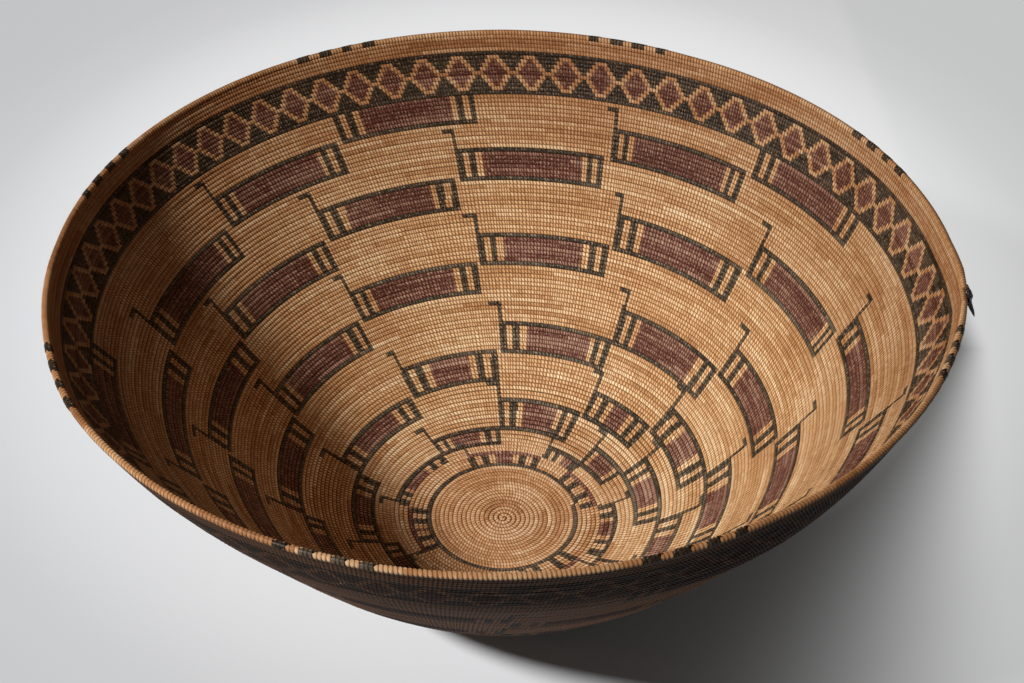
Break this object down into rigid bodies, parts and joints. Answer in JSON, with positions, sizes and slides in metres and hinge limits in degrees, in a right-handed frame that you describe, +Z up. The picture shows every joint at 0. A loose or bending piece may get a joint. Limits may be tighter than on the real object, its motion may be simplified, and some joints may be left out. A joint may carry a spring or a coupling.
{
  "type": "coiled storage basket",
  "caption": "Wide deep coiled bowl basket in tan plant strand, with a dark floor ring, stepped dark red blocks, a band of diamonds, black rim ticks and a small hide tie",
  "frame": {"origin": "on the ground under the middle of the floor, where the basket's centre line meets the surface it stands on", "axes": "+Z up along the basket's centre line; -Y towards the viewer of the picture, +X to the viewer's right, where the hide tie is"},
  "size_m": [0.5632, 0.56, 0.2513],
  "materials": {
    "tan_strand": "satin",
    "patterned_strand": "satin",
    "dark_band_strand": "satin",
    "black_strand": "satin",
    "hide": "satin"
  },
  "bodies": {
    "root": {"centre_knot": "tan_strand", "floor_coil": "tan_strand", "upper_plain_courses": "tan_strand", "rim_coil": "tan_strand", "stepped_courses_01": "patterned_strand", "stepped_courses_02": "patterned_strand", "stepped_courses_03": "patterned_strand", "stepped_courses_04": "patterned_strand", "stepped_courses_05": "patterned_strand", "stepped_courses_06": "patterned_strand", "stepped_courses_07": "patterned_strand", "stepped_courses_08": "patterned_strand", "stepped_courses_09": "patterned_strand", "stepped_courses_10": "patterned_strand", "stepped_courses_11": "patterned_strand", "stepped_courses_12": "patterned_strand", "stepped_courses_13": "patterned_strand", "diamond_band_courses": "dark_band_strand", "dark_ring_course": "black_strand", "rim_tick_1a": "black_strand", "rim_tick_1b": "black_strand", "rim_tick_1c": "black_strand", "rim_tick_1d": "black_strand", "rim_tick_2a": "black_strand", "rim_tick_2b": "black_strand", "rim_tick_2c": "black_strand", "rim_tick_2d": "black_strand", "rim_tick_3a": "black_strand", "rim_tick_3b": "black_strand", "rim_tick_3c": "black_strand", "rim_tick_3d": "black_strand", "rim_tick_4a": "black_strand", "rim_tick_4b": "black_strand", "rim_tick_4c": "black_strand", "rim_tick_4d": "black_strand", "rim_tick_5a": "black_strand", "rim_tick_5b": "black_strand", "rim_tick_5c": "black_strand", "rim_tick_5d": "black_strand", "rim_tick_6a": "black_strand", "rim_tick_6b": "black_strand", "rim_tick_6c": "black_strand", "rim_tick_6d": "black_strand", "rim_tick_7a": "black_strand", "rim_tick_7b": "black_strand", "rim_tick_7c": "black_strand", "rim_tick_7d": "black_strand", "rim_tick_8a": "black_strand", "rim_tick_8b": "black_strand", "rim_tick_8c": "black_strand", "rim_tick_8d": "black_strand", "tie_knot": "hide", "tie_stub": "hide", "tie_tail": "hide"}
  },
  "joints": []
}
